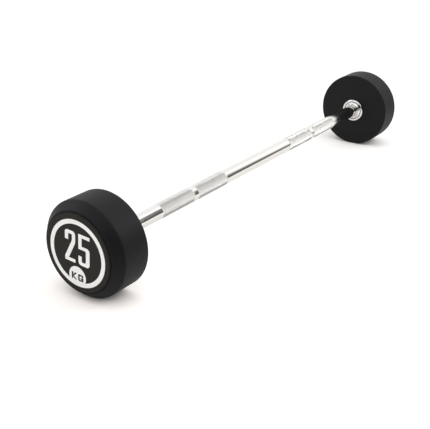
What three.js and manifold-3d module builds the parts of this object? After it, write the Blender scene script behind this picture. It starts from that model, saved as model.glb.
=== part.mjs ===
// A fixed barbell: a chromed steel bar with a keyed and bolted head on each end. A head is a cast iron
// core inside a moulded rubber cover, closed by a rubber cap outside and trimmed by a chromed collar inside.
// Millimetres, +Z up. The bar's axis is X, and the origin is the middle of that axis.
import * as THREE from "three";
import { mergeVertices } from "three/addons/utils/BufferGeometryUtils.js";
import Module from "manifold-3d";

const wasm = await Module();
wasm.setup();

// Whole barbell
const overallLength = 1105;
const headDiameter = 180;
const barDiameter = 30;
const seatClearance = 0.3;

// Grip of the bar
const smoothCentreLength = 254;
const knurlLength = 100;
const knurlRingWidth = 12.5;
const knurlRise = 0.25;
const knurlEdgeLength = 0.6;

// Ends of the bar
const spigotDiameter = 25;
const spigotSetback = 1;
const turnedEdgeBreak = 1;
const tappedHoleRunout = 4;
const drillPointShare = 0.6;

// Rubber cover
const coverThickness = 76;
const coverWall = 7;
const coverBackWall = 5.5;
const coverFrontWall = 3.5;
const coverOpeningDiameter = 116;
const chamferDepth = 15.6;
const landWidth = 3.9;
const shoulderRound = 9;
const landEdgeRound = 1.6;
const innerEdgeRound = 3.3;

// Rubber cap over the bolt
const capDiameter = 144;
const capThickness = 8;
const capProudHeight = 3.5;
const capEdgeRound = 2.4;
const capRimDepth = 3;
const capRimWidth = 7.5;

// Iron core
const castEdgeBreak = 2.5;
const lockGrooveWidth = 14;
const lockGrooveDepth = 3;
const pocketSideRoom = 4;
const pocketHeadroom = 3;

// Chromed collar
const collarDiameter = 56;
const collarNeckDiameter = 44;
const collarSeatDepth = 1;
const collarFlangeThickness = 4.8;
const collarLipWidth = 2.4;
const collarLipRound = 1.1;
const collarGrooveWidth = 1.6;
const collarGrooveDepth = 1.1;
const collarHubDiameter = 37;
const collarHubHeight = 2;
const collarHubRound = 1.4;

// Socket screw
const screwDiameter = 12;
const screwLength = 40;
const screwHeadDiameter = 18;
const screwHeadHeight = 12;
const screwSocketWidth = 10;
const screwSocketDepth = 6;
const screwEdgeBreak = 0.9;

// Washers
const washerDiameter = 36;
const washerThickness = 3;
const washerHoleClearance = 0.5;
const lockWasherDiameter = 20.5;
const lockWasherThickness = 2.8;
const lockWasherGap = 2.6;

// Drive key
const keyWidth = 8;
const keyHeight = 7;
const keyLength = 28;
const keySunkDepth = 3.5;

// Facets and cuts
const headFacets = 48;
const collarFacets = 32;
const barFacets = 28;
const fastenerFacets = 24;
const lockWasherArcFacets = 14;
const arcStepAngle = THREE.MathUtils.degToRad(31);
const keyEndFacets = 6;
const hexSides = 6;
const cutOverrun = 2;
const mergeDistanceShare = 1e-6;

// Places along the axis on the right side, from the cap's face inwards
const capFaceX = overallLength / 2;
const landX = capFaceX - capProudHeight;
const innerFaceX = landX - coverThickness;
const collarSeatX = innerFaceX + collarSeatDepth;
const recessFloorX = capFaceX - capThickness - seatClearance;
const coreFrontX = recessFloorX - coverFrontWall - seatClearance;
const coreBackX = innerFaceX + coverBackWall + seatClearance;
const barShoulderX = coreBackX - seatClearance;
const fastenerStack =
  washerThickness + lockWasherThickness + screwHeadHeight + 3 * seatClearance;
const pocketFloorX = coreFrontX - fastenerStack - pocketHeadroom;
const washerX = pocketFloorX + seatClearance;
const lockWasherX = washerX + washerThickness + seatClearance;
const screwHeadX = lockWasherX + lockWasherThickness + seatClearance;
const screwTipX = screwHeadX - screwLength;
const spigotEndX = pocketFloorX - spigotSetback;
const tappedHoleFloorX = screwTipX - tappedHoleRunout;
const keyMiddleX = (coreBackX + spigotEndX) / 2;

// Radii shared by pieces that seat in each other
const headRadius = headDiameter / 2;
const barRadius = barDiameter / 2;
const spigotRadius = spigotDiameter / 2;
const screwRadius = screwDiameter / 2;
const tappedHoleRadius = screwRadius + seatClearance;
const capRadius = capDiameter / 2;
const recessRadius = capRadius + seatClearance;
const landRadius = recessRadius + landWidth;
const coverOpeningRadius = coverOpeningDiameter / 2;
const capRimRadius = coverOpeningRadius - seatClearance;
const coreRadius = headRadius - coverWall - seatClearance;
const coreBoreRadius = spigotRadius + seatClearance;
const pocketRadius = washerDiameter / 2 + pocketSideRoom;
const collarRadius = collarDiameter / 2;
const collarNeckRadius = collarNeckDiameter / 2;
const keyFloorRadius = spigotRadius - keySunkDepth;
const keyTopRadius = keyFloorRadius + seatClearance + keyHeight;

// The core's front chamfer runs along the cover's, one wall deeper.
const chamferSlope = (headRadius - landRadius) / chamferDepth;
const chamferWallRise = coverWall * Math.hypot(1, chamferSlope);
const coreFrontRadius =
  landRadius + chamferSlope * (landX - coreFrontX) - chamferWallRise;
const coreChamferX = coreFrontX - (coreRadius - coreFrontRadius) / chamferSlope;
const lockGrooveMiddleX = (coreBackX + coreChamferX) / 2;
const lockGrooveRadius = coreRadius - lockGrooveDepth;

const materials = {
  chrome: new THREE.MeshStandardMaterial({
    color: 0xdcdde0,
    roughness: 0.08,
    metalness: 1,
  }),
  rubber: new THREE.MeshStandardMaterial({
    color: 0x242426,
    roughness: 0.62,
    metalness: 0,
  }),
  iron: new THREE.MeshStandardMaterial({
    color: 0x4a4b4d,
    roughness: 0.7,
    metalness: 0.9,
  }),
  steel: new THREE.MeshStandardMaterial({
    color: 0x8c9096,
    roughness: 0.35,
    metalness: 1,
  }),
};

// A corner of a turned outline, at a place along the axis and a radius, with the round that eases it.
function corner(x, radius, round = 0) {
  return { at: new THREE.Vector2(radius, x), round };
}

// The points of an outline, with each rounded corner as an arc that touches both of its sides.
function easedPoints(corners) {
  const points = [];
  corners.forEach(({ at, round }, i) => {
    if (!round) {
      points.push(at);
      return;
    }
    const before = corners.at(i - 1).at.clone().sub(at);
    const after = corners[(i + 1) % corners.length].at.clone().sub(at);
    const halfAngle = before.angleTo(after) / 2;
    const roomiest = Math.min(before.length(), after.length()) / 2;
    const setBack = Math.min(round / Math.tan(halfAngle), roomiest);
    const radius = setBack * Math.tan(halfAngle);
    before.normalize();
    after.normalize();
    const inwards = before.clone().add(after).normalize();
    const centre = at.clone().addScaledVector(inwards, radius / Math.sin(halfAngle));
    const start = at.clone().addScaledVector(before, setBack).sub(centre);
    const turn = Math.PI - 2 * halfAngle;
    const direction = Math.sign(before.cross(after));
    const steps = Math.max(2, Math.ceil(turn / arcStepAngle));
    for (let step = 0; step <= steps; step += 1) {
      const angle = (-direction * turn * step) / steps;
      points.push(start.clone().rotateAround(new THREE.Vector2(), angle).add(centre));
    }
  });
  return points;
}

// A solid turned about the X axis. Its outline starts and ends on the axis, or closes on itself.
function turned(corners, facets) {
  const points = easedPoints(corners);
  if (THREE.ShapeUtils.area(points) < 0) points.reverse();
  if (corners[0].at.x > 0) points.push(points[0].clone());
  const flatSideDown = Math.PI / facets;
  const geometry = new THREE.LatheGeometry(points, facets, flatSideDown);
  return geometry.rotateZ(-Math.PI / 2);
}

// A flat shape drawn across the X axis, made into a plate that starts at x.
function plateAcross(shape, x, thickness, facets) {
  const options = { depth: thickness, bevelEnabled: false, curveSegments: facets };
  const geometry = new THREE.ExtrudeGeometry(shape, options);
  return geometry.rotateY(Math.PI / 2).translate(x, 0, 0);
}

function toSolid(geometry) {
  const bare = geometry.clone();
  bare.deleteAttribute("normal");
  bare.deleteAttribute("uv");
  const merged = mergeVertices(bare, mergeDistanceShare * overallLength);
  return new wasm.Manifold(
    new wasm.Mesh({
      numProp: 3,
      vertProperties: merged.attributes.position.array,
      triVerts: new Uint32Array(merged.index.array),
    }),
  );
}

function toGeometry(solid) {
  const { vertProperties, triVerts } = solid.getMesh();
  const indexed = new THREE.BufferGeometry();
  indexed.setAttribute("position", new THREE.BufferAttribute(vertProperties, 3));
  indexed.setIndex(new THREE.BufferAttribute(triVerts, 1));
  const geometry = indexed.toNonIndexed();
  geometry.computeVertexNormals();
  return geometry;
}

function cutFrom(geometry, ...cutters) {
  const solid = cutters.reduce((left, cutter) => left.subtract(toSolid(cutter)), toSolid(geometry));
  return toGeometry(solid);
}

// A bar lying along X with round ends, flat above and below, from one height up to another.
function roundEndedBar(middleX, length, width, bottomZ, topZ) {
  const endRadius = width / 2;
  const straightHalf = length / 2 - endRadius;
  const outline = new THREE.Shape();
  outline.absarc(straightHalf, 0, endRadius, -Math.PI / 2, Math.PI / 2);
  outline.absarc(-straightHalf, 0, endRadius, Math.PI / 2, (3 * Math.PI) / 2);
  const options = { depth: topZ - bottomZ, bevelEnabled: false, curveSegments: keyEndFacets };
  const geometry = new THREE.ExtrudeGeometry(outline, options);
  return geometry.translate(middleX, 0, bottomZ);
}

// Half of the bar's outline, from the middle out to the drill point of its tapped end.
function halfBarCorners() {
  const crestRadius = barRadius + knurlRise;
  const corners = [];
  let x = smoothCentreLength / 2;
  for (let zone = 0; zone < 2; zone += 1) {
    corners.push(
      corner(x, barRadius),
      corner(x + knurlEdgeLength, crestRadius),
      corner(x + knurlLength - knurlEdgeLength, crestRadius),
      corner(x + knurlLength, barRadius),
    );
    x += knurlLength + knurlRingWidth;
  }
  corners.push(
    corner(barShoulderX - turnedEdgeBreak, barRadius),
    corner(barShoulderX, barRadius - turnedEdgeBreak),
    corner(barShoulderX, spigotRadius),
    corner(spigotEndX - turnedEdgeBreak, spigotRadius),
    corner(spigotEndX, spigotRadius - turnedEdgeBreak),
    corner(spigotEndX, tappedHoleRadius),
    corner(tappedHoleFloorX, tappedHoleRadius),
    corner(tappedHoleFloorX - drillPointShare * tappedHoleRadius, 0),
  );
  return corners;
}

function barGeometry() {
  const right = halfBarCorners();
  const left = right.map(({ at }) => corner(-at.y, at.x)).reverse();
  const bar = turned([...left, ...right], barFacets);
  const keyways = [-1, 1].map((side) =>
    roundEndedBar(
      side * keyMiddleX,
      keyLength + 2 * seatClearance,
      keyWidth + 2 * seatClearance,
      keyFloorRadius,
      spigotRadius + cutOverrun,
    ),
  );
  return cutFrom(bar, ...keyways);
}

// The core's outside from back to front. The cover's cavity is the same outline, one clearance larger.
function coreSideCorners(clearance) {
  const grooveStart = lockGrooveMiddleX - lockGrooveWidth / 2 + clearance;
  const grooveEnd = lockGrooveMiddleX + lockGrooveWidth / 2 - clearance;
  return [
    corner(coreBackX - clearance, coreRadius - castEdgeBreak + clearance),
    corner(coreBackX + castEdgeBreak - clearance, coreRadius + clearance),
    corner(grooveStart, coreRadius + clearance),
    corner(grooveStart, lockGrooveRadius + clearance),
    corner(grooveEnd, lockGrooveRadius + clearance),
    corner(grooveEnd, coreRadius + clearance),
    corner(coreChamferX + clearance, coreRadius + clearance),
    corner(coreFrontX + clearance, coreFrontRadius + clearance),
  ];
}

function coreGeometry() {
  const core = turned(
    [
      corner(coreBackX, coreBoreRadius),
      ...coreSideCorners(0),
      corner(coreFrontX, pocketRadius),
      corner(pocketFloorX, pocketRadius),
      corner(pocketFloorX, coreBoreRadius),
    ],
    headFacets,
  );
  const keywayLength = pocketFloorX - coreBackX + cutOverrun;
  const keyway = new THREE.BoxGeometry(
    keywayLength,
    keyWidth + 2 * seatClearance,
    keyTopRadius + seatClearance,
  );
  const keywayX = (coreBackX + pocketFloorX) / 2;
  keyway.translate(keywayX, 0, (keyTopRadius + seatClearance) / 2);
  return cutFrom(core, keyway);
}

function coverGeometry() {
  const neckHoleRadius = collarNeckRadius + seatClearance;
  const collarSeatRadius = collarRadius + seatClearance;
  return turned(
    [
      corner(collarSeatX, neckHoleRadius),
      corner(collarSeatX, collarSeatRadius),
      corner(innerFaceX, collarSeatRadius),
      corner(innerFaceX, headRadius, innerEdgeRound),
      corner(landX - chamferDepth, headRadius, shoulderRound),
      corner(landX, landRadius, landEdgeRound),
      corner(landX, recessRadius),
      corner(recessFloorX, recessRadius),
      corner(recessFloorX, coverOpeningRadius),
      corner(coreFrontX + seatClearance, coverOpeningRadius),
      ...coreSideCorners(seatClearance).reverse(),
      corner(coreBackX - seatClearance, neckHoleRadius),
    ],
    headFacets,
  );
}

function capGeometry() {
  const backX = recessFloorX + seatClearance;
  const rimInnerRadius = capRimRadius - capRimWidth;
  return turned(
    [
      corner(backX, 0),
      corner(backX, rimInnerRadius),
      corner(backX - capRimDepth, rimInnerRadius),
      corner(backX - capRimDepth, capRimRadius),
      corner(backX, capRimRadius),
      corner(backX, capRadius),
      corner(capFaceX, capRadius, capEdgeRound),
      corner(capFaceX, 0),
    ],
    headFacets,
  );
}

function collarGeometry() {
  const boreRadius = barRadius + seatClearance;
  const hubRadius = collarHubDiameter / 2;
  const flangeBackX = collarSeatX - seatClearance;
  const flangeFaceX = flangeBackX - collarFlangeThickness;
  const grooveOuterRadius = collarRadius - collarLipWidth;
  const grooveInnerRadius = grooveOuterRadius - collarGrooveWidth;
  const hubFaceX = flangeFaceX - collarHubHeight;
  return turned(
    [
      corner(barShoulderX, boreRadius),
      corner(barShoulderX, collarNeckRadius),
      corner(flangeBackX, collarNeckRadius),
      corner(flangeBackX, collarRadius),
      corner(flangeFaceX, collarRadius, collarLipRound),
      corner(flangeFaceX, grooveOuterRadius),
      corner(flangeFaceX + collarGrooveDepth, grooveOuterRadius),
      corner(flangeFaceX + collarGrooveDepth, grooveInnerRadius),
      corner(flangeFaceX, grooveInnerRadius),
      corner(flangeFaceX, hubRadius),
      corner(hubFaceX, hubRadius - collarHubHeight, collarHubRound),
      corner(hubFaceX, boreRadius),
    ],
    collarFacets,
  );
}

function screwGeometry() {
  const headRadiusOfScrew = screwHeadDiameter / 2;
  const headTopX = screwHeadX + screwHeadHeight;
  const screw = turned(
    [
      corner(screwTipX, 0),
      corner(screwTipX, screwRadius - screwEdgeBreak),
      corner(screwTipX + screwEdgeBreak, screwRadius),
      corner(screwHeadX, screwRadius),
      corner(screwHeadX, headRadiusOfScrew),
      corner(headTopX - screwEdgeBreak, headRadiusOfScrew),
      corner(headTopX, headRadiusOfScrew - screwEdgeBreak),
      corner(headTopX, 0),
    ],
    fastenerFacets,
  );
  const socketCornerRadius = screwSocketWidth / 2 / Math.cos(Math.PI / hexSides);
  const socketLength = screwSocketDepth + cutOverrun;
  const socket = new THREE.CylinderGeometry(
    socketCornerRadius,
    socketCornerRadius,
    socketLength,
    hexSides,
  );
  socket.rotateZ(-Math.PI / 2);
  socket.translate(headTopX - screwSocketDepth + socketLength / 2, 0, 0);
  return cutFrom(screw, socket);
}

function washerGeometry() {
  const holeRadius = screwRadius + washerHoleClearance;
  return turned(
    [
      corner(washerX, holeRadius),
      corner(washerX, washerDiameter / 2),
      corner(washerX + washerThickness, washerDiameter / 2),
      corner(washerX + washerThickness, holeRadius),
    ],
    fastenerFacets,
  );
}

// A ring of spring steel, cut through on one side.
function lockWasherGeometry() {
  const outerRadius = lockWasherDiameter / 2;
  const innerRadius = screwRadius + washerHoleClearance;
  const outerHalfGap = Math.asin(lockWasherGap / 2 / outerRadius);
  const innerHalfGap = Math.asin(lockWasherGap / 2 / innerRadius);
  const ring = new THREE.Shape();
  ring.absarc(0, 0, outerRadius, outerHalfGap, 2 * Math.PI - outerHalfGap);
  ring.absarc(0, 0, innerRadius, 2 * Math.PI - innerHalfGap, innerHalfGap, true);
  ring.closePath();
  return plateAcross(ring, lockWasherX, lockWasherThickness, lockWasherArcFacets);
}

function keyGeometry() {
  const bottomZ = keyFloorRadius + seatClearance;
  return roundEndedBar(keyMiddleX, keyLength, keyWidth, bottomZ, bottomZ + keyHeight);
}

const headPieces = [
  ["head_core", coreGeometry(), materials.iron],
  ["head_cover", coverGeometry(), materials.rubber],
  ["end_cap", capGeometry(), materials.rubber],
  ["inner_collar", collarGeometry(), materials.chrome],
  ["retaining_screw", screwGeometry(), materials.steel],
  ["lock_washer", lockWasherGeometry(), materials.steel],
  ["plain_washer", washerGeometry(), materials.steel],
  ["drive_key", keyGeometry(), materials.steel],
];

// One end's pieces, drawn for the right side and turned half round the vertical for the left.
function headGroup(side, turn) {
  const group = new THREE.Group();
  for (const [name, geometry, material] of headPieces) {
    const piece = new THREE.Mesh(geometry, material);
    piece.name = side + "_" + name;
    group.add(piece);
  }
  group.rotation.z = turn;
  return group;
}

const barbell = new THREE.Group();
const bar = new THREE.Mesh(barGeometry(), materials.chrome);
bar.name = "handle_bar";
barbell.add(bar, headGroup("right", 0), headGroup("left", Math.PI));

export default barbell;
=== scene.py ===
"""Dresses the fixed barbell: rubber heads with printed caps, a knurled chrome bar and chrome collars."""

import math
from collections import namedtuple

import bmesh
import bpy
from bpy.props import FloatProperty, FloatVectorProperty, IntProperty, PointerProperty
from mathutils import Matrix, Vector


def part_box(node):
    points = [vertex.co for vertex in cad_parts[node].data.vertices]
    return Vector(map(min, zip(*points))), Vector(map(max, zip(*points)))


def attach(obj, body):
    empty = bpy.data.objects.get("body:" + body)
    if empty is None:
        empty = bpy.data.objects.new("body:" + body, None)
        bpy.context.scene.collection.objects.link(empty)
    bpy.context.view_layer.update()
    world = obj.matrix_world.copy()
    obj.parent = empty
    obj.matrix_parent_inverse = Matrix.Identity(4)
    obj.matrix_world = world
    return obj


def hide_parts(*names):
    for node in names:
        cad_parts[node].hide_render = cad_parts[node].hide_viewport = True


bl_info = {
    "name": "Fixed Barbell",
    "version": (1, 0, 0),
    "blender": (4, 5, 0),
    "location": "3D View > Sidebar > Barbell",
    "description": "Builds a fixed barbell with rubber heads and a knurled chrome bar",
    "category": "Object",
}

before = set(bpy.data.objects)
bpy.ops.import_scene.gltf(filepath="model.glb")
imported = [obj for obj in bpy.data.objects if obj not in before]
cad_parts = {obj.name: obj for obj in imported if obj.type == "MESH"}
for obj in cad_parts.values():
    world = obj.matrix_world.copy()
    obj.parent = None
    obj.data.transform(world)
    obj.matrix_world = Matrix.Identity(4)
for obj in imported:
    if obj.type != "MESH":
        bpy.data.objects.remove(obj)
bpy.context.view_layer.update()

BODY = "root"
SIDES = {"left": -1, "right": 1}
HEAD_STEPS = 192
COLLAR_STEPS = 96
FULL_TURN = 2 * math.pi
ARC_STEP = math.radians(6)
MERGE_DISTANCE = 1e-6
HOLD = 0.0002
SHARP_ANGLE = math.radians(28)
DRILL_SLOPE = math.radians(31)
AXIS = Vector((1, 0, 0))
ORIGIN = Vector((0, 0, 0))


def length(name, default, description):
    """A size in metres that a user can change."""
    return FloatProperty(name=name, default=default, description=description, unit="LENGTH", precision=5)


def angle(name, default, description):
    """An angle that a user can change."""
    return FloatProperty(name=name, default=default, description=description, subtype="ANGLE")


def colour(name, default, description):
    """A colour that a user can change."""
    return FloatVectorProperty(
        name=name, default=default, description=description, subtype="COLOR", size=3, min=0, max=1
    )


class BarbellSizes(bpy.types.PropertyGroup):
    """The barbell's sizes"""

    seat_clearance: length("Seat clearance", 0.0003, "Gap between pieces that seat in each other")

    knurl_start: length("Knurl start", 0.127, "Distance from the bar's middle to its first knurled zone")
    knurl_length: length("Knurl length", 0.100, "Length of one knurled zone")
    knurl_ring_width: length("Knurl ring", 0.0125, "Smooth ring between two knurled zones")
    knurl_crest: length("Knurl crest", 0.00040, "How far the knurl's points stand over the bar")
    knurl_root: length("Knurl root", 0.00030, "How deep the knurl's grooves are cut into the bar")
    diamonds_around: IntProperty(
        name="Diamonds around", default=60, description="Knurl diamonds round the bar"
    )
    knurl_angle: angle("Knurl angle", math.radians(30), "Lead of the grooves")
    bar_diameter: length("Bar", 0.030, "Diameter of the smooth bar")
    spigot_diameter: length("Spigot", 0.025, "Diameter of the bar's end inside the head")
    tapped_hole_diameter: length("Tapped hole", 0.0126, "Hole in the bar's end for the screw")
    tapped_hole_depth: length("Hole depth", 0.038, "Depth of the tapped hole")
    turned_edge: length("Turned edge", 0.001, "Edge break on the bar's shoulders and ends")
    keyway_width: length("Keyway width", 0.0086, "Width of the slot for the drive key")
    keyway_length: length("Keyway length", 0.0286, "Length of the slot for the drive key")
    keyway_depth: length("Keyway depth", 0.0035, "Depth of the slot for the drive key")

    chamfer_depth: length("Chamfer depth", 0.0156, "Depth of the cover's outer chamfer along the axis")
    land_width: length("Land width", 0.0039, "Flat ring of the cover round the cap")
    shoulder_round: length("Shoulder round", 0.0078, "Round between the chamfer and the barrel")
    land_edge_round: length("Land edge round", 0.0022, "Round between the land and the chamfer")
    recess_edge_round: length("Recess edge round", 0.0006, "Round on the lip of the cap's recess")
    inner_edge_round: length("Inner edge round", 0.0033, "Round on the cover's edge towards the bar")
    neck_hole_round: length("Neck hole round", 0.0008, "Round on the hole for the collar's neck")
    cover_front_wall: length("Front wall", 0.0035, "Rubber between the cap and the core")
    cover_opening_diameter: length("Opening", 0.116, "Hole in the cover under the cap")
    collar_diameter: length("Collar", 0.056, "Diameter of the collar's flange")
    collar_neck_diameter: length("Collar neck", 0.044, "Diameter of the collar's neck in the cover")

    cap_proud: length("Cap proud", 0.0035, "How far the cap stands out of the cover's land")
    cap_thickness: length("Cap thickness", 0.008, "Thickness of the cap without its rim")
    cap_edge_round: length("Cap edge round", 0.0024, "Round on the cap's edge")
    cap_rim_width: length("Cap rim", 0.0075, "Width of the locating rim behind the cap")

    collar_seat_depth: length("Collar seat", 0.001, "Depth of the cover's recess for the collar's flange")
    collar_flange: length("Collar flange", 0.0048, "Thickness of the collar's flange")
    collar_lip_width: length("Collar lip", 0.0046, "Width of the raised lip round the collar")
    collar_lip_round: length("Collar lip round", 0.0030, "Round on the collar's lip")
    collar_groove_width: length("Collar groove", 0.0022, "Width of the groove inside the lip")
    collar_groove_depth: length("Groove depth", 0.0018, "Depth of the groove inside the lip")
    collar_groove_round: length("Groove round", 0.0004, "Round on the groove's edges")
    collar_hub_diameter: length("Collar hub", 0.037, "Diameter of the collar's hub")
    collar_face_fall: length("Face fall", 0.0003, "How far the collar's face slopes back towards its groove")
    collar_hub_taper: length("Hub taper", 0.0016, "How much smaller the hub's radius is at its face")
    collar_hub_round: length("Hub round", 0.0010, "Round on the collar's hub")

    print_thickness: length("Print thickness", 0.0002, "Thickness of the white print on the cap")
    ring_outer_radius: length("Ring outer radius", 0.0622, "Outer edge of the white ring")
    ring_inner_radius: length("Ring inner radius", 0.0541, "Inner edge of the white ring")
    field_radius: length("Field radius", 0.0192, "Radius of the white field at the foot of the ring")
    field_drop: length("Field drop", 0.0440, "How far the field's centre lies below the cap's")
    digit_height: length("Digit height", 0.0583, "Height of the number")
    two_width: length("Two width", 0.0235, "Width of the two")
    five_width: length("Five width", 0.0251, "Width of the five")
    digit_stem: length("Digit stem", 0.0075, "Width of the digits' upright strokes")
    digit_beam: length("Digit beam", 0.0063, "Width of the digits' level strokes")
    digit_gap: length("Digit gap", 0.0070, "Gap between the digits")
    digit_rise: length("Digit rise", 0.0101, "How far the number's centre lies above the cap's")
    unit_height: length("Unit height", 0.0132, "Height of the letters in the field")
    unit_width: length("Unit width", 0.0122, "Width of one letter in the field")
    unit_stem: length("Unit stem", 0.0037, "Width of the letters' upright strokes")
    unit_beam: length("Unit beam", 0.0031, "Width of the letters' level strokes")
    unit_gap: length("Unit gap", 0.0024, "Gap between the letters")
    unit_drop: length("Unit drop", 0.0445, "How far the letters' centre lies below the cap's")
    left_print_turn: angle("Left print turn", math.radians(-4.3), "Turn of the left print")
    right_print_turn: angle("Right print turn", 0, "Turn of the right print")


class BarbellColours(bpy.types.PropertyGroup):
    """The colours of its finishes and of the floor"""

    chrome: colour("Chrome", (0.815, 0.80, 0.775), "Chrome plate")
    knurl: colour("Knurl", (0.965, 0.95, 0.925), "Chrome plate on the knurl")
    collar: colour("Collar", (0.83, 0.83, 0.82), "Chrome plate on the collars")
    # painted shade: a near-black band laid in the collar's groove, where shade falls
    groove_painted_shade: colour("Groove shade", (0.05, 0.05, 0.05), "Painted shade in the collar's groove")
    rubber: colour("Rubber", (0.0050, 0.0044, 0.0058), "Moulded rubber")
    rubber_worn: colour("Worn rubber", (0.0074, 0.0067, 0.0084), "Rubber that hands and floors have dulled")
    cap: colour("Cap", (0.0200, 0.0186, 0.0158), "Rubber of the cap behind its print")
    cap_worn: colour("Worn cap", (0.0248, 0.0232, 0.0200), "Cap that hands and floors have dulled")
    print_white: colour("Print", (0.98, 0.98, 0.96), "White print")
    iron: colour("Iron", (0.10, 0.10, 0.105), "Cast iron")
    iron_rust: colour("Iron rust", (0.16, 0.09, 0.06), "Rust bloom on the cast iron")
    zinc: colour("Zinc", (0.55, 0.57, 0.60), "Zinc-plated steel")
    floor: colour("Floor", (0.89, 0.87, 0.85), "Studio floor")


def sizes():
    return bpy.context.scene.barbell_sizes


def colours():
    return bpy.context.scene.barbell_colours


# Outlines

def corner(x, radius, round_by=0.0):
    """A corner of an outline, with the round that eases it."""
    return (Vector((x, radius)), round_by)


def arc(centre, radius, start, end, step=ARC_STEP):
    """Points on an arc about a centre, from one angle to another."""
    count = max(2, math.ceil(abs(end - start) / step))
    angles = [start + (end - start) * i / count for i in range(count + 1)]
    return [centre + radius * Vector((math.cos(a), math.sin(a))) for a in angles]


def eased(corners, hold=0.0):
    """The points of a closed outline, where each rounded corner is an arc that touches both of its sides.

    hold puts one more point on each side at that distance from an arc, which keeps a flat's shading flat.
    """
    points = []
    for i, (at, round_by) in enumerate(corners):
        if not round_by:
            points.append(at)
            continue
        before = corners[i - 1][0] - at
        after = corners[(i + 1) % len(corners)][0] - at
        half_angle = before.angle(after) / 2
        set_back = min(round_by / math.tan(half_angle), before.length / 2, after.length / 2)
        radius = set_back * math.tan(half_angle)
        inwards = (before.normalized() + after.normalized()).normalized()
        centre = at + inwards * radius / math.sin(half_angle)
        start = at + before.normalized() * set_back - centre
        turn = math.copysign(math.pi - 2 * half_angle, -before.cross(after))
        first = math.atan2(start.y, start.x)
        bend = arc(centre, radius, first, first + turn)
        for side, place in ((before, 0), (after, len(bend) + 1)):
            if hold and set_back + hold < side.length / 2:
                bend.insert(place, at + side.normalized() * (set_back + hold))
        points += bend
    return points


# Meshes

def object_from(bm, name):
    """An object in the scene with the mesh of a bmesh, which is freed."""
    mesh = bpy.data.meshes.new(name)
    bm.to_mesh(mesh)
    bm.free()
    piece = bpy.data.objects.new(name, mesh)
    bpy.context.scene.collection.objects.link(piece)
    return piece


def spin_outline(points, steps, closed):
    """A bmesh turned full round the bar's axis from points of (place along the axis, radius)."""
    bm = bmesh.new()
    verts = [bm.verts.new((point.x, 0, point.y)) for point in points]
    pairs = list(zip(verts, verts[1:]))
    if closed:
        pairs.append((verts[-1], verts[0]))
    edges = [bm.edges.new(pair) for pair in pairs]
    bmesh.ops.spin(
        bm, geom=verts + edges, cent=ORIGIN, axis=AXIS, dvec=ORIGIN,
        angle=FULL_TURN, space=Matrix(), steps=steps, use_merge=True,
    )
    bmesh.ops.remove_doubles(bm, verts=bm.verts, dist=MERGE_DISTANCE)
    bmesh.ops.recalc_face_normals(bm, faces=bm.faces)
    return bm


def finish_piece(piece, slot, *nodes):
    """Puts a piece on the barbell in the place of the CAD nodes that it dresses."""
    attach(piece, BODY)
    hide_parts(*nodes)


def turned_piece(name, points, steps, material):
    """An object turned from an outline, with smooth shading up to its sharp edges."""
    closed = points[0].y > 0
    piece = object_from(spin_outline(points, steps, closed), name)
    piece.data.materials.append(material)
    piece.data.shade_smooth()
    piece.data.set_sharp_from_angle(angle=SHARP_ANGLE)
    return piece


# Nodes

def feed(tree, node, inputs):
    """Gives a node's inputs, by name or place, plain values or other nodes' outputs."""
    for key, value in inputs.items():
        if isinstance(value, bpy.types.NodeSocket):
            tree.links.new(value, node.inputs[key])
        else:
            node.inputs[key].default_value = value


def add_node(tree, kind, inputs=None, **settings):
    """A new node with its settings and inputs."""
    node = tree.nodes.new("ShaderNode" + kind)
    for name, setting in settings.items():
        setattr(node, name, setting)
    feed(tree, node, inputs or {})
    return node


def object_place(tree):
    """The place of each shaded point in its object."""
    return add_node(tree, "TexCoord").outputs["Object"]


def product(tree, whole, *factors):
    """The output of nodes that multiply values together."""
    for factor in factors:
        whole = add_node(tree, "Math", {0: whole, 1: factor}, operation="MULTIPLY").outputs["Value"]
    return whole


def new_group(name, inputs, output):
    """A new shader node group of plain numbers, the outputs of its input node, and its output node."""
    group = bpy.data.node_groups.new(name, "ShaderNodeTree")
    for socket_name, value in inputs.items():
        socket = group.interface.new_socket(
            name=socket_name, in_out="INPUT", socket_type="NodeSocketFloat"
        )
        socket.default_value = value
    group.interface.new_socket(name=output, in_out="OUTPUT", socket_type="NodeSocketFloat")
    given = group.nodes.new("NodeGroupInput").outputs
    return group, given, group.nodes.new("NodeGroupOutput")


def surface_grain_group():
    """Fine pits and a slow swell of a moulded or cast skin, as a height."""
    group, given, result = new_group(
        "Surface Grain", {"Fine Scale": 1400.0, "Slow Scale": 60.0, "Slow Share": 0.3}, "Height"
    )
    place = object_place(group)
    fine = add_node(group, "TexNoise", {
        "Vector": place, "Scale": given["Fine Scale"], "Detail": 3.0,
    })
    slow = add_node(group, "TexNoise", {
        "Vector": place, "Scale": given["Slow Scale"], "Detail": 2.0,
    })
    height = add_node(group, "Mix", {
        "Factor": given["Slow Share"], "A": fine.outputs["Fac"], "B": slow.outputs["Fac"],
    })
    feed(group, result, {"Height": height.outputs["Result"]})
    return group


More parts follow.
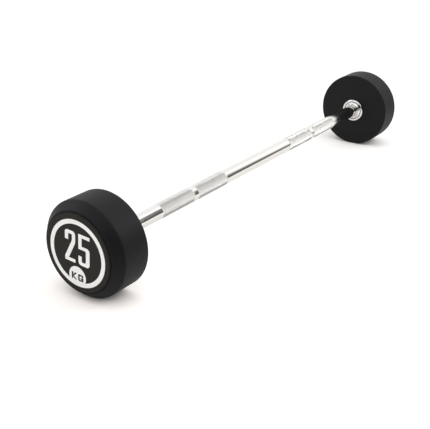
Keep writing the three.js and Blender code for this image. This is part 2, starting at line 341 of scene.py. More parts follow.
def handling_marks_group():
    """Where hands, racks and floors have dulled a surface: broad patches with short scuffs in them."""
    group, given, result = new_group(
        "Handling Marks", {"Patch Scale": 14.0, "Scuff Scale": 220.0, "Amount": 0.5}, "Mask"
    )
    scuff_stretch = (0.35, 1.0, 1.0)
    scuff_starts, scuff_whole = 0.52, 0.74
    place = object_place(group)
    patch = add_node(group, "TexNoise", {
        "Vector": place, "Scale": given["Patch Scale"], "Detail": 4.0,
    }).outputs["Fac"]
    stretched = add_node(group, "Mapping", {"Vector": place, "Scale": scuff_stretch})
    scuff = add_node(group, "TexNoise", {
        "Vector": stretched.outputs["Vector"], "Scale": given["Scuff Scale"], "Detail": 5.0,
    })
    narrowed = add_node(group, "MapRange", {
        "Value": scuff.outputs["Fac"], "From Min": scuff_starts, "From Max": scuff_whole,
    })
    both = add_node(group, "Math", {
        0: narrowed.outputs["Result"], 1: patch, 2: patch,
    }, operation="MULTIPLY_ADD")
    scaled = add_node(group, "Math", {
        0: both.outputs["Value"], 1: given["Amount"],
    }, operation="MULTIPLY", use_clamp=True)
    feed(group, result, {"Mask": scaled.outputs["Value"]})
    return group


def ring_band_group():
    """A ring about the bar's axis, as a mask that is whole in its middle half and fades to its edges."""
    group, given, result = new_group("Ring Band", {"Radius": 0.02, "Half Width": 0.001}, "Mask")
    across = add_node(group, "VectorMath", {
        0: object_place(group), 1: (0, 1, 1),
    }, operation="MULTIPLY")
    radius = add_node(group, "VectorMath", {0: across.outputs["Vector"]}, operation="LENGTH")
    offset = add_node(group, "Math", {
        0: radius.outputs["Value"], 1: given["Radius"],
    }, operation="SUBTRACT")
    away = add_node(group, "Math", {0: offset.outputs["Value"]}, operation="ABSOLUTE")
    fade = add_node(group, "MapRange", {
        "Value": away.outputs["Value"], "From Max": given["Half Width"], "To Min": 2.0, "To Max": 0.0,
    })
    shown = add_node(group, "Clamp", {"Value": fade.outputs["Result"]})
    feed(group, result, {"Mask": shown.outputs["Result"]})
    return group


def group_named(name):
    """The shader node group of that name, built when it is first asked for."""
    builders = {
        "Surface Grain": surface_grain_group,
        "Handling Marks": handling_marks_group,
        "Ring Band": ring_band_group,
    }
    return bpy.data.node_groups.get(name) or builders[name]()


# Materials

Finish = namedtuple("Finish", "clean_roughness marked_roughness grain marks metallic specular")
Grain = namedtuple("Grain", "fine_scale slow_scale slow_share depth")
Marks = namedtuple("Marks", "patch_scale scuff_scale amount")

PLATE = Finish(
    0.10, 0.15, Grain(900.0, 35.0, 0.6, 0.00001), Marks(9.0, 160.0, 0.5), metallic=1.0, specular=0.5
)
FINISHES = {
    "chrome_plate": PLATE,
    "collar_plate": PLATE,
    "knurl_chrome": Finish(
        0.38, 0.54, Grain(2600.0, 200.0, 0.3, 0.00002), Marks(60.0, 260.0, 0.9), metallic=1.0, specular=0.5
    ),
    "head_rubber": Finish(
        0.47, 0.66, Grain(1700.0, 55.0, 0.45, 0.00012), Marks(16.0, 240.0, 0.75), metallic=0.0, specular=0.20
    ),
    "cap_compound": Finish(
        0.55, 0.75, Grain(2100.0, 70.0, 0.35, 0.00008), Marks(22.0, 260.0, 0.7), metallic=0.0, specular=0.15
    ),
    "cap_print": Finish(
        0.38, 0.58, Grain(1900.0, 90.0, 0.4, 0.00005), Marks(24.0, 300.0, 0.5), metallic=0.0, specular=0.5
    ),
    "cast_iron": Finish(
        0.55, 0.85, Grain(700.0, 90.0, 0.4, 0.0004), Marks(35.0, 300.0, 0.9), metallic=0.7, specular=0.5
    ),
    "zinc_steel": Finish(
        0.28, 0.48, Grain(2200.0, 200.0, 0.3, 0.00003), Marks(60.0, 700.0, 0.6), metallic=1.0, specular=0.5
    ),
}


def dimmed(tone, share):
    """A colour with a share of its brightness."""
    return [share * channel for channel in tone]


def tones(name):
    """The clean and the marked colour of a material."""
    c = colours()
    return {
        "chrome_plate": (c.chrome, dimmed(c.chrome, 0.93)),
        "collar_plate": (c.collar, dimmed(c.collar, 0.93)),
        "knurl_chrome": (c.knurl, dimmed(c.knurl, 0.85)),
        "head_rubber": (c.rubber, c.rubber_worn),
        "cap_compound": (c.cap, c.cap_worn),
        "cap_print": (c.print_white, dimmed(c.print_white, 0.90)),
        "cast_iron": (c.iron, c.iron_rust),
        "zinc_steel": (c.zinc, dimmed(c.zinc, 0.8)),
    }[name]


def finish_material(name, clean, marked, finish):
    """A Principled surface with handling marks in its colour and roughness and a fine grain in its normal."""
    material = bpy.data.materials.new(name)
    material.use_nodes = True
    tree = material.node_tree
    handled = add_node(tree, "Group", {
        "Patch Scale": finish.marks.patch_scale,
        "Scuff Scale": finish.marks.scuff_scale,
        "Amount": finish.marks.amount,
    }, node_tree=group_named("Handling Marks")).outputs["Mask"]
    tint = add_node(tree, "Mix", {
        "Factor": handled, "A": (*clean, 1), "B": (*marked, 1),
    }, data_type="RGBA")
    dulled = add_node(tree, "MapRange", {
        "Value": handled, "To Min": finish.clean_roughness, "To Max": finish.marked_roughness,
    })
    grained = add_node(tree, "Group", {
        "Fine Scale": finish.grain.fine_scale,
        "Slow Scale": finish.grain.slow_scale,
        "Slow Share": finish.grain.slow_share,
    }, node_tree=group_named("Surface Grain"))
    bump = add_node(tree, "Bump", {
        "Height": grained.outputs["Height"], "Distance": finish.grain.depth,
    })
    feed(tree, tree.nodes["Principled BSDF"], {
        "Base Color": tint.outputs["Result"],
        "Metallic": finish.metallic,
        "Roughness": dulled.outputs["Result"],
        "Specular IOR Level": finish.specular,
        "Normal": bump.outputs["Normal"],
    })
    return material


def lay_over(material, mask, tone):
    """Covers a material's colour with another one where a mask is one."""
    tree = material.node_tree
    shader = tree.nodes["Principled BSDF"]
    bare = shader.inputs["Base Color"].links[0].from_socket
    covered = add_node(tree, "Mix", {"Factor": mask, "A": bare, "B": (*tone, 1)}, data_type="RGBA")
    feed(tree, shader, {"Base Color": covered.outputs["Result"]})


def paint_groove_shade(material):
    """Paints shade into the groove of the collar's face: a near-black band over the plate's colour."""
    outer, inner = collar_groove()
    band = add_node(material.node_tree, "Group", {
        "Radius": (outer + inner) / 2, "Half Width": sizes().collar_groove_width / 2,
    }, node_tree=group_named("Ring Band"))
    # painted shade: the groove's band covers the chrome's colour
    lay_over(material, band.outputs["Mask"], colours().groove_painted_shade)


def paint_flank_shade(material):
    """Paints shade into the knurl's colour where it slants away from the eye, in place of the shadow that its
    points cast on each other.
    """
    slant_starts, slant_full, shade = 0.45, 0.82, 0.15
    tree = material.node_tree
    slant = add_node(tree, "LayerWeight")
    flank_shade_mask = add_node(tree, "MapRange", {
        "Value": slant.outputs["Facing"], "From Min": slant_starts, "From Max": slant_full,
    })
    # painted shade: the knurl's colour dimmed to 15 percent where it slants away from the eye
    lay_over(material, flank_shade_mask.outputs["Result"], dimmed(colours().knurl, shade))


def material_named(name):
    """The material of that name, made when it is first asked for."""
    material = bpy.data.materials.get(name)
    if material:
        return material
    material = finish_material(name, *tones(name), FINISHES[name])
    if name == "collar_plate":
        # the collar's groove gets a band of painted shade
        paint_groove_shade(material)
    elif name == "knurl_chrome":
        # the knurl gets painted shade on its slanting flanks
        paint_flank_shade(material)
    return material


# Bar

def half_bar_points():
    """The bar's outline from its middle to the end of its tapped hole, and each knurled zone's stretch."""
    s = sizes()
    bar_radius = s.bar_diameter / 2
    spigot_radius = s.spigot_diameter / 2
    hole_radius = s.tapped_hole_diameter / 2
    pitch_around = FULL_TURN * bar_radius / s.diamonds_around
    half_pitch_along = pitch_around / math.tan(s.knurl_angle) / 2
    rows = round(s.knurl_length / half_pitch_along / 2) * 2

    points, zones = [], []
    start = s.knurl_start
    for _ in range(2):
        points += [Vector((start + s.knurl_length * row / rows, bar_radius)) for row in range(rows + 1)]
        zones.append((start, s.knurl_length / rows))
        start += s.knurl_length + s.knurl_ring_width

    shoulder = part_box("right_inner_collar")[1].x
    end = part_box("handle_bar")[1].x
    points += [
        Vector((shoulder - s.turned_edge, bar_radius)),
        Vector((shoulder, bar_radius - s.turned_edge)),
        Vector((shoulder, spigot_radius)),
        Vector((end - s.turned_edge, spigot_radius)),
        Vector((end, spigot_radius - s.turned_edge)),
        Vector((end, hole_radius)),
        Vector((end - s.tapped_hole_depth, hole_radius)),
        Vector((end - s.tapped_hole_depth - hole_radius * math.tan(DRILL_SLOPE), 0)),
    ]
    return points, zones


def cut_knurl(bm, zones, columns):
    """Raises and sinks every other point of each zone, and folds the faces along the grooves between."""
    row_slack = 0.01
    s = sizes()
    bar_radius = s.bar_diameter / 2
    grooves, knurled = [], set()
    for vert in bm.verts:
        for start, row_length in zones:
            row = (abs(vert.co.x) - start) / row_length
            last = s.knurl_length / row_length
            if not -row_slack < row < last + row_slack:
                continue
            knurled.add(vert)
            column = math.atan2(vert.co.y, vert.co.z) / FULL_TURN * columns
            is_groove = (round(row) + round(column)) % 2 == 0
            if is_groove:
                grooves.append(vert)
            if 0 < round(row) < round(last):
                radius = bar_radius - s.knurl_root if is_groove else bar_radius + s.knurl_crest
                vert.co.yz = vert.co.yz.normalized() * radius
    bmesh.ops.connect_verts(bm, verts=grooves)
    return knurled


def slot_cutter(middle, length_along, width, bottom, top):
    """A round-ended block that cuts a keyway."""
    end_radius = width / 2
    reach = length_along / 2 - end_radius
    quarter = math.pi / 2
    outline = arc(Vector((middle + reach, 0)), end_radius, -quarter, quarter)
    outline += arc(Vector((middle - reach, 0)), end_radius, quarter, 3 * quarter)
    bm = bmesh.new()
    face = bm.faces.new([bm.verts.new((point.x, point.y, bottom)) for point in outline])
    raised = bmesh.ops.extrude_face_region(bm, geom=[face])
    verts = [item for item in raised["geom"] if isinstance(item, bmesh.types.BMVert)]
    bmesh.ops.translate(bm, verts=verts, vec=(0, 0, top - bottom))
    bmesh.ops.recalc_face_normals(bm, faces=bm.faces)
    return object_from(bm, "keyway_cutter")


def cut_away(piece, cutter):
    """Takes a cutter's shape out of a piece, and the cutter out of the scene."""
    modifier = piece.modifiers.new("keyway", "BOOLEAN")
    modifier.object = cutter
    modifier.operation = "DIFFERENCE"
    modifier.solver = "EXACT"
    with bpy.context.temp_override(object=piece, active_object=piece, selected_objects=[piece]):
        bpy.ops.object.modifier_apply(modifier=modifier.name)
    bpy.data.objects.remove(cutter)


class BARBELL_OT_bar(bpy.types.Operator):
    """Turns the bar, cuts its four knurled zones and mills its keyways"""

    bl_idname = "barbell.bar"
    bl_label = "Handle Bar"

    def execute(self, context):
        s = sizes()
        columns = 2 * s.diamonds_around
        right, zones = half_bar_points()
        left = [Vector((-point.x, point.y)) for point in reversed(right)]
        bm = spin_outline(left + right, columns, closed=False)
        knurled = cut_knurl(bm, zones, columns)
        for face in bm.faces:
            is_knurl = all(vert in knurled for vert in face.verts) and len(face.verts) == 3
            face.material_index = int(is_knurl)
            face.smooth = True
        bar = object_from(bm, "chrome_bar")
        bar.data.materials.append(material_named("chrome_plate"))
        bar.data.materials.append(material_named("knurl_chrome"))
        key_low, key_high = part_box("right_drive_key")
        middle = (key_low.x + key_high.x) / 2
        floor = s.spigot_diameter / 2 - s.keyway_depth
        for side in SIDES.values():
            cutter = slot_cutter(side * middle, s.keyway_length, s.keyway_width, floor, s.spigot_diameter)
            cut_away(bar, cutter)
        bar.data.set_sharp_from_angle(angle=SHARP_ANGLE)
        for face in bar.data.polygons:
            face.use_smooth = face.material_index == 0
        finish_piece(bar, "bar_chrome", "handle_bar")
        return {"FINISHED"}


# Heads

def head_frame():
    """Places of one head along the axis and its radii, read from the frame for the right side."""
    cover_low, cover_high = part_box("right_head_cover")
    core_low, core_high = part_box("right_head_core")
    cap_low, cap_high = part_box("right_end_cap")
    collar_low, collar_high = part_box("right_inner_collar")
    return {
        "inner_face": cover_low.x,
        "land": cover_high.x,
        "radius": cover_high.z,
        "core_back": core_low.x,
        "core_front": core_high.x,
        "core_radius": core_high.z,
        "cap_rim": cap_low.x,
        "cap_face": cap_high.x,
        "cap_radius": cap_high.z,
        "collar_hub": collar_low.x,
        "collar_neck": collar_high.x,
        "collar_radius": collar_high.z,
    }


def collar_groove():
    """The outer and the inner radius of the groove in a collar's face."""
    outer = head_frame()["collar_radius"] - sizes().collar_lip_width
    return outer, outer - sizes().collar_groove_width


def turned_head_piece(name, side, corners, steps, material):
    """A turned piece drawn for the right head, on the side that is asked for."""
    points = eased(corners, HOLD)
    placed = [Vector((SIDES[side] * point.x, point.y)) for point in points]
    return turned_piece(side + "_" + name, placed, steps, material)


class BARBELL_OT_covers(bpy.types.Operator):
    """Turns the moulded rubber covers round the iron cores"""

    bl_idname = "barbell.covers"
    bl_label = "Rubber Covers"

    def execute(self, context):
        s = sizes()
        for side in SIDES:
            f = head_frame()
            gap = s.seat_clearance
            recess_radius = f["cap_radius"] + gap
            land_radius = recess_radius + s.land_width
            recess_floor = f["cap_face"] - s.cap_thickness - gap
            neck_radius = s.collar_neck_diameter / 2 + gap
            opening_radius = s.cover_opening_diameter / 2
            seat = f["inner_face"] + s.collar_seat_depth
            seat_radius = s.collar_diameter / 2 + gap
            slope = (f["radius"] - land_radius) / s.chamfer_depth
            wall = f["radius"] - f["core_radius"] - gap
            wall_rise = wall * math.hypot(1, slope)
            cavity_front = f["core_front"] + gap
            cavity_radius = f["core_radius"] + gap
            front_radius = land_radius + slope * (f["land"] - cavity_front) - wall_rise
            chamfer_end = cavity_front - (cavity_radius - front_radius) / slope
            corners = [
                corner(seat, neck_radius, s.neck_hole_round),
                corner(seat, seat_radius),
                corner(f["inner_face"], seat_radius, s.neck_hole_round),
                corner(f["inner_face"], f["radius"], s.inner_edge_round),
                corner(f["land"] - s.chamfer_depth, f["radius"], s.shoulder_round),
                corner(f["land"], land_radius, s.land_edge_round),
                corner(f["land"], recess_radius, s.recess_edge_round),
                corner(recess_floor, recess_radius),
                corner(recess_floor, opening_radius),
                corner(cavity_front, opening_radius),
                corner(cavity_front, front_radius),
                corner(chamfer_end, cavity_radius),
                corner(f["core_back"] - gap, cavity_radius),
                corner(f["core_back"] - gap, neck_radius),
            ]
            rubber = material_named("head_rubber")
            cover = turned_head_piece("rubber_cover", side, corners, HEAD_STEPS, rubber)
            finish_piece(cover, "cover_rubber", side + "_head_cover")
        return {"FINISHED"}


class BARBELL_OT_caps(bpy.types.Operator):
    """Turns the rubber caps that close the heads' outer faces"""

    bl_idname = "barbell.caps"
    bl_label = "End Caps"

    def execute(self, context):
        s = sizes()
        for side in SIDES:
            f = head_frame()
            back = f["cap_face"] - s.cap_thickness
            face = f["cap_face"] - s.print_thickness
            rim_radius = s.cover_opening_diameter / 2 - s.seat_clearance
            corners = [
                corner(back, 0),
                corner(back, rim_radius - s.cap_rim_width),
                corner(f["cap_rim"], rim_radius - s.cap_rim_width),
                corner(f["cap_rim"], rim_radius),
                corner(back, rim_radius),
                corner(back, f["cap_radius"]),
                corner(face, f["cap_radius"], s.cap_edge_round),
                corner(face, 0),
            ]
            compound = material_named("cap_compound")
            cap = turned_head_piece("rubber_cap", side, corners, HEAD_STEPS, compound)
            finish_piece(cap, "cap_rubber", side + "_end_cap")
        return {"FINISHED"}


class BARBELL_OT_collars(bpy.types.Operator):
    """Turns the chromed collars where the bar enters the heads"""

    bl_idname = "barbell.collars"
    bl_label = "Chrome Collars"

    def execute(self, context):
        s = sizes()
        for side in SIDES:
            f = head_frame()
            bore_radius = s.bar_diameter / 2 + s.seat_clearance
            neck_radius = s.collar_neck_diameter / 2
            flange_back = f["inner_face"] + s.collar_seat_depth - s.seat_clearance
            flange_face = flange_back - s.collar_flange
            groove_outer, groove_inner = collar_groove()
            groove_floor = flange_face + s.collar_groove_depth
            hub_radius = s.collar_hub_diameter / 2
            corners = [
                corner(f["collar_neck"], bore_radius),
                corner(f["collar_neck"], neck_radius),
                corner(flange_back, neck_radius),
                corner(flange_back, f["collar_radius"], s.collar_groove_round),
                corner(flange_face, f["collar_radius"], s.collar_lip_round),
                corner(flange_face, groove_outer, s.collar_groove_round),
                corner(groove_floor, groove_outer),
                corner(groove_floor, groove_inner),
                corner(flange_face + s.collar_face_fall, groove_inner, s.collar_groove_round),
                corner(flange_face, hub_radius, s.collar_groove_round),
                corner(f["collar_hub"], hub_radius - s.collar_hub_taper, s.collar_hub_round),
                corner(f["collar_hub"], bore_radius, s.collar_groove_round),
            ]
            plate = material_named("collar_plate")
            collar = turned_head_piece("chrome_collar", side, corners, COLLAR_STEPS, plate)
            finish_piece(collar, "collar_chrome", side + "_inner_collar")
        return {"FINISHED"}


# Print

def drawn(corners, left, bottom):
    """The points of a figure's outline, moved so that its box starts at a place."""
    return eased([(at + Vector((left, bottom)), round_by) for at, round_by in corners])


def figure_two(width, height, stem, beam):
    """The outline of a two, from its bottom left corner and round against the clock."""
    terminal = 0.685 * height
    bend = 0.65 * height
    inner_bend = bend + 0.4 * stem
    slant_right, slant_left = 1.14 * stem, 1.15 * beam
    outer, inner = 0.85 * stem, 0.3 * stem
    return [
        corner(0, 0), corner(width, 0), corner(width, beam), corner(slant_right, beam),
        corner(width, bend, 2 * stem), corner(width, height, outer), corner(0, height, outer),
        corner(0, terminal), corner(stem, terminal), corner(stem, height - beam, inner),
        corner(width - stem, height - beam, inner), corner(width - stem, inner_bend, stem),
        corner(0, slant_left),
    ]


def figure_five(width, height, stem, beam):
    """The outline of a five, from its bottom left corner and round against the clock."""
    hook = 0.295 * height
    waist = 0.622 * height
    bowl = 1.1 * stem
    outer, inner = 0.85 * stem, 0.3 * stem
    return [
        corner(0, 0, outer), corner(width, 0, outer), corner(width, waist, outer),
        corner(stem, waist), corner(stem, height - beam), corner(width, height - beam),
        corner(width, height), corner(0, height), corner(0, waist - beam),
        corner(width - bowl, waist - beam, inner), corner(width - bowl, beam, 2 * inner),
        corner(stem, beam, inner), corner(stem, hook), corner(0, hook),
    ]


def letter_k(width, height, stem, beam):
    """The outline of a K, from its bottom left corner and round against the clock."""
    middle = height / 2
    arm = 1.35 * stem
    return [
        corner(0, 0), corner(stem, 0), corner(stem, middle - beam / 2),
        corner(width - arm, 0), corner(width, 0), corner(stem + beam / 2, middle),
        corner(width, height), corner(width - arm, height), corner(stem, middle + beam / 2),
        corner(stem, height), corner(0, height),
    ]


def letter_g(width, height, stem, beam):
    """The outline of a G, from its bottom left corner and round against the clock."""
    outer, inner = 0.8 * stem, 0.25 * stem
    tongue = 0.55 * height
    lip = height - 1.7 * beam
    return [
        corner(0, 0, outer), corner(width, 0, outer), corner(width, tongue), corner(width / 2, tongue),
        corner(width / 2, tongue - beam), corner(width - stem, tongue - beam),
        corner(width - stem, beam, inner), corner(stem, beam, inner),
        corner(stem, height - beam, inner), corner(width - stem, height - beam, inner),
        corner(width - stem, lip), corner(width, lip),
        corner(width, height, outer), corner(0, height, outer),
    ]


def dark_area():
    """The edge of the black area in the ring: the ring's inner circle, bitten by the round white field."""
    s = sizes()
    ring, field, drop = s.ring_inner_radius, s.field_radius, s.field_drop
    half_mouth = math.acos((ring**2 + drop**2 - field**2) / (2 * ring * drop))
    down = -math.pi / 2
    points = arc(Vector((0, 0)), ring, down + half_mouth, down + FULL_TURN - half_mouth)
    field_centre = Vector((0, -drop))
    mouth = points[0] - field_centre
    dip = math.atan2(mouth.y, mouth.x)
    points += arc(field_centre, field, math.pi - dip, dip)[1:-1]
    return points


def print_outlines():
    """The edges of the print, nested: each edge inside another turns white to black and back."""
    s = sizes()
    outlines = [arc(Vector((0, 0)), s.ring_outer_radius, 0, FULL_TURN)[:-1], dark_area()]
    number = ((figure_two, s.two_width), (figure_five, s.five_width))
    unit = ((letter_k, s.unit_width), (letter_g, s.unit_width))
    rows = (
        (number, s.digit_height, s.digit_stem, s.digit_beam, s.digit_gap, s.digit_rise),
        (unit, s.unit_height, s.unit_stem, s.unit_beam, s.unit_gap, -s.unit_drop),
    )
    for figures, height, stem, beam, gap, rise in rows:
        left = -(sum(width for _, width in figures) + gap) / 2
        for draw, width in figures:
            outlines.append(drawn(draw(width, height, stem, beam), left, rise - height / 2))
            left += width + gap
    return outlines


def flat_plate(name, outlines, thickness):
    """A thin closed plate with the given edges, lying on the XY plane."""
    curve = bpy.data.curves.new(name + "_edges", "CURVE")
    curve.dimensions = "2D"
    curve.fill_mode = "BOTH"
    curve.extrude = thickness / 2
    for outline in outlines:
        spline = curve.splines.new("POLY")
        spline.points.add(len(outline) - 1)
        for point, at in zip(spline.points, outline):
            point.co = (at.x, at.y, 0, 1)
        spline.use_cyclic_u = True
    drawing = bpy.data.objects.new(name + "_edges", curve)
    bpy.context.scene.collection.objects.link(drawing)
    bpy.context.view_layer.update()
    evaluated = drawing.evaluated_get(bpy.context.evaluated_depsgraph_get())
    bm = bmesh.new()
    bm.from_mesh(evaluated.to_mesh())
    evaluated.to_mesh_clear()
    bpy.data.objects.remove(drawing)
    bmesh.ops.translate(bm, verts=bm.verts, vec=(0, 0, thickness / 2))
    bmesh.ops.remove_doubles(bm, verts=bm.verts, dist=MERGE_DISTANCE)
    bmesh.ops.recalc_face_normals(bm, faces=bm.faces)
    return bm


class BARBELL_OT_print(bpy.types.Operator):
    """Lays the white ring, number and unit on both caps"""

    bl_idname = "barbell.face_print"
    bl_label = "Cap Print"

    def execute(self, context):
        s = sizes()
        turns = {"left": s.left_print_turn, "right": s.right_print_turn}
        for side, sign in SIDES.items():
            f = head_frame()
            bm = flat_plate(side + "_print", print_outlines(), s.print_thickness)
            face_outwards = Matrix(((0, 0, sign, 0), (sign, 0, 0, 0), (0, 1, 0, 0), (0, 0, 0, 1)))
            place = Matrix.Translation((sign * (f["cap_face"] - s.print_thickness), 0, 0))
            turn = Matrix.Rotation(turns[side], 4, "Z")
            bmesh.ops.transform(bm, matrix=place @ face_outwards @ turn, verts=bm.verts)
            plate = object_from(bm, side + "_cap_print")
            plate.data.materials.append(material_named("cap_print"))
            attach(plate, BODY)
        return {"FINISHED"}


# Inner pieces

class BARBELL_OT_inner_pieces(bpy.types.Operator):
    """Gives the iron cores and the steel fasteners inside the heads their finish"""

    bl_idname = "barbell.inner_pieces"
    bl_label = "Cores And Fasteners"

    def execute(self, context):
        finishes = {
            "head_core": "cast_iron",
            "retaining_screw": "zinc_steel",
            "lock_washer": "zinc_steel",
            "plain_washer": "zinc_steel",
            "drive_key": "zinc_steel",
        }
        for side in SIDES:
            for name, finish in finishes.items():
                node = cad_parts[side + "_" + name]
                node.data.materials.clear()
                node.data.materials.append(material_named(finish))
        return {"FINISHED"}


# Stage

CAMERA_PLACE = Vector((-1.4253, -0.8955, 0.6135))
CAMERA_FORWARD = Vector((0.7485, 0.5265, -0.4032))
CAMERA_LENS = 68.73
SENSOR_WIDTH = 36.0

Lamp = namedtuple("Lamp", "name place target width height power lights_floor")
LAMPS = (
    Lamp("softbox", (0.53, -1.17, 0.90), (-0.1, 0, 0), width=0.34, height=0.85, power=7.5, lights_floor=True),
    Lamp("window", (-1.0, 1.6, 0.95), (-0.5, 0, 0), width=1.2, height=0.9, power=7.0, lights_floor=False),
)

# The floor's edges, how far off a thing shades it, and the glow that lifts it to white for the camera and
# paints its shadow, with a warm painted light in the shadow's rim
FLOOR_FAR = 12.0
FLOOR_NEAR = -0.61
SHADOW_REACH = 0.35
RIM_LIFT = (1.75, 1.52, 1.30)
OPEN_LIFT = (0.11, 0.13, 0.16)
HEAD_DISTANCE = 0.55
LEFT_RIM_SHARE = 1.05
RIGHT_RIM_SHARE = 0.5

# The light from all round
WALL_LEVEL = 1.10
FRONT_WALL_GAIN = 0.20
WALL_TURN = (0.12, -0.12)

# The black flag on the camera's side: it lies within a right angle of either of two directions, and is
# darkest at its middle. Mirrored and scattered rays meet it, and the camera doesn't see it.
FLAG_UPPER = (-0.6618, -0.6759, 0.3243)
FLAG_LOWER = (-0.5504, -0.8277, -0.1095)
FLAG_EDGE = (-0.105, 0.005)
FLAG_SIDE = (0.0, -0.15)
FLAG_TOP = (0.64, 0.54)
FLAG_MIDDLE = (-0.552, -0.834, 0.0)
FLAG_SHADE = (0.05, 0.40)
FLAG_RIM_LEVEL = 0.17
FLAG_LEVEL = 0.03

# The grey card behind the barbell, which only mirrored rays meet, and its soft borders
CARD_NEAR = (0.20, 0.40)
CARD_RIGHT = (0.45, 0.25)
CARD_FOOT = (0.08, 0.16)
CARD_TOP = (0.55, 0.45)
CARD_LEVEL = 0.20


def make_camera():
    """The camera that was fitted to the photo."""
    data = bpy.data.cameras.new("camera")
    data.sensor_width = SENSOR_WIDTH
    data.lens = CAMERA_LENS
    camera = bpy.data.objects.new("camera", data)
    bpy.context.scene.collection.objects.link(camera)
    camera.location = CAMERA_PLACE
    camera.rotation_mode = "QUATERNION"
    camera.rotation_quaternion = CAMERA_FORWARD.to_track_quat("-Z", "Y")
    bpy.context.scene.camera = camera


def floor_material():
    """White paper that keeps the barbell's shadow.

    The camera sees a glow on it that lifts it to white and fades where the barbell hides the sky, which
    deepens the real shadow with painted shadow. The glow is warmer in the rim of a shadow, a painted warm
    light, and stronger in the left head's rim than in the right one's.
    """
    material = bpy.data.materials.new("floor_paper")
    material.use_nodes = True
    tree = material.node_tree
    open_sky = add_node(tree, "AmbientOcclusion", {"Distance": SHADOW_REACH}).outputs["AO"]
    hidden_sky = add_node(tree, "Math", {0: 1.0, 1: open_sky}, operation="SUBTRACT")
    place = add_node(tree, "SeparateXYZ", {"Vector": object_place(tree)})
    share = add_node(tree, "MapRange", {
        "Value": place.outputs["X"], "From Min": -HEAD_DISTANCE, "From Max": HEAD_DISTANCE,
        "To Min": LEFT_RIM_SHARE, "To Max": RIGHT_RIM_SHARE,
    })
    # painted shadow and warm painted light in the shadow's rim, seen by the camera only
    rim = product(tree, hidden_sky.outputs["Value"], open_sky, share.outputs["Result"])
    lift = add_node(tree, "VectorMath", {0: rim, 1: RIM_LIFT, 2: OPEN_LIFT}, operation="MULTIPLY_ADD")
    camera_ray = add_node(tree, "LightPath").outputs["Is Camera Ray"]
    feed(tree, tree.nodes["Principled BSDF"], {
        "Base Color": (*colours().floor, 1),
        "Roughness": 0.9,
        "Specular IOR Level": 0.0,
        "Emission Color": lift.outputs["Vector"],
        "Emission Strength": product(tree, camera_ray, open_sky),
    })
    return material


def make_floor():
    """A paper floor that runs far behind the barbell and ends in front of it, outside the picture."""
    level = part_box("left_head_cover")[0].z
    bm = bmesh.new()
    corners = [
        (-FLOOR_FAR, FLOOR_NEAR), (FLOOR_FAR, FLOOR_NEAR), (FLOOR_FAR, FLOOR_FAR), (-FLOOR_FAR, FLOOR_FAR),
    ]
    bm.faces.new([bm.verts.new((x, y, level)) for x, y in corners])
    floor = object_from(bm, "floor")
    floor.data.materials.append(floor_material())
    return floor


def make_lamp(lamp, floor):
    """An area light. One that doesn't light the floor lights all else."""
    data = bpy.data.lights.new(lamp.name, "AREA")
    data.shape = "RECTANGLE"
    data.size = lamp.width
    data.size_y = lamp.height
    data.energy = lamp.power
    light = bpy.data.objects.new(lamp.name, data)
    bpy.context.scene.collection.objects.link(light)
    light.location = lamp.place
    light.rotation_mode = "QUATERNION"
    light.rotation_quaternion = (Vector(lamp.target) - Vector(lamp.place)).to_track_quat("-Z", "Y")
    if not lamp.lights_floor:
        receivers = bpy.data.collections.new(lamp.name + "_receivers")
        receivers.objects.link(floor)
        receivers.collection_objects[0].light_linking.link_state = "EXCLUDE"
        light.light_linking.receiver_collection = receivers


def soft_step(tree, value, start, end):
    """An output that goes from nought to one as a value goes from start to end, up or down."""
    return add_node(tree, "MapRange", {
        "Value": value, "From Min": start, "From Max": end,
    }, interpolation_type="SMOOTHSTEP").outputs["Result"]


def along(tree, direction, towards):
    """An output that says how far a direction points along another."""
    return add_node(tree, "VectorMath", {0: direction, 1: towards}, operation="DOT_PRODUCT").outputs["Value"]


def blended(tree, mask, level, masked_level):
    """An output that is one level, and another where a mask is one."""
    return add_node(tree, "Mix", {"Factor": mask, "A": level, "B": masked_level}).outputs["Result"]


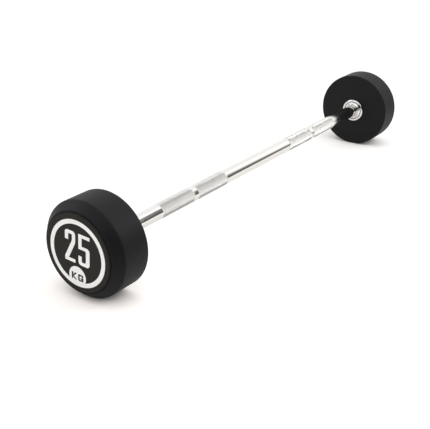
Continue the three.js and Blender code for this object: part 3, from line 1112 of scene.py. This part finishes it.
def make_world():
    """A white studio, and plain white where the camera sees it.

    A black flag on the camera's side gives the chrome its dark streaks. A grey card does so from behind, and
    only mirrored rays meet it, so it takes no light from the barbell and the floor.
    """
    world = bpy.data.worlds.new("studio")
    bpy.context.scene.world = world
    world.use_nodes = True
    tree = world.node_tree
    ray = add_node(tree, "LightPath").outputs
    direction = add_node(tree, "TexCoord").outputs["Generated"]
    x, y, z = add_node(tree, "SeparateXYZ", {"Vector": direction}).outputs
    in_flag = add_node(tree, "Math", {
        0: along(tree, direction, FLAG_UPPER), 1: along(tree, direction, FLAG_LOWER),
    }, operation="MAXIMUM")
    flag = product(
        tree,
        soft_step(tree, in_flag.outputs["Value"], *FLAG_EDGE),
        soft_step(tree, y, *FLAG_SIDE),
        soft_step(tree, z, *FLAG_TOP),
    )
    flag_level = add_node(tree, "MapRange", {
        "Value": along(tree, direction, FLAG_MIDDLE),
        "From Min": FLAG_SHADE[0], "From Max": FLAG_SHADE[1],
        "To Min": FLAG_RIM_LEVEL, "To Max": FLAG_LEVEL,
    })
    card = product(
        tree,
        ray["Is Glossy Ray"],
        soft_step(tree, y, *CARD_NEAR),
        soft_step(tree, x, *CARD_RIGHT),
        soft_step(tree, z, *CARD_FOOT),
        soft_step(tree, z, *CARD_TOP),
    )
    walls = add_node(tree, "Math", {
        0: soft_step(tree, y, *WALL_TURN), 1: FRONT_WALL_GAIN, 2: WALL_LEVEL,
    }, operation="MULTIPLY_ADD")
    level = blended(tree, flag, walls.outputs["Value"], flag_level.outputs["Result"])
    level = blended(tree, card, level, CARD_LEVEL)
    level = blended(tree, ray["Is Camera Ray"], level, 1.0)
    feed(tree, tree.nodes["Background"], {"Color": (1, 1, 1, 1), "Strength": level})


class BARBELL_OT_stage(bpy.types.Operator):
    """Sets the floor, the soft lamps, the studio world and the camera"""

    bl_idname = "barbell.stage"
    bl_label = "Studio"

    def execute(self, context):
        floor = make_floor()
        make_world()
        for lamp in LAMPS:
            make_lamp(lamp, floor)
        make_camera()
        context.scene.view_settings.view_transform = "Standard"
        return {"FINISHED"}


class BARBELL_PT_panel(bpy.types.Panel):
    """Lists the barbell's pieces and sizes in the sidebar"""

    bl_idname = "BARBELL_PT_panel"
    bl_label = "Fixed Barbell"
    bl_space_type = "VIEW_3D"
    bl_region_type = "UI"
    bl_category = "Barbell"

    def draw(self, context):
        layout = self.layout
        for operator in OPERATORS:
            layout.operator(operator.bl_idname)
        for group in (context.scene.barbell_sizes, context.scene.barbell_colours):
            box = layout.box()
            for name in group.__annotations__:
                box.prop(group, name)


OPERATORS = (
    BARBELL_OT_stage,
    BARBELL_OT_bar,
    BARBELL_OT_covers,
    BARBELL_OT_caps,
    BARBELL_OT_print,
    BARBELL_OT_collars,
    BARBELL_OT_inner_pieces,
)
CLASSES = (BarbellSizes, BarbellColours, *OPERATORS, BARBELL_PT_panel)


def register():
    for cls in CLASSES:
        bpy.utils.register_class(cls)
    bpy.types.Scene.barbell_sizes = PointerProperty(type=BarbellSizes)
    bpy.types.Scene.barbell_colours = PointerProperty(type=BarbellColours)


def unregister():
    del bpy.types.Scene.barbell_colours
    del bpy.types.Scene.barbell_sizes
    for cls in reversed(CLASSES):
        bpy.utils.unregister_class(cls)


def main():
    register()
    bpy.ops.barbell.stage()
    bpy.ops.barbell.bar()
    bpy.ops.barbell.covers()
    bpy.ops.barbell.caps()
    bpy.ops.barbell.face_print()
    bpy.ops.barbell.collars()
    bpy.ops.barbell.inner_pieces()


if __name__ == "__main__":
    main()
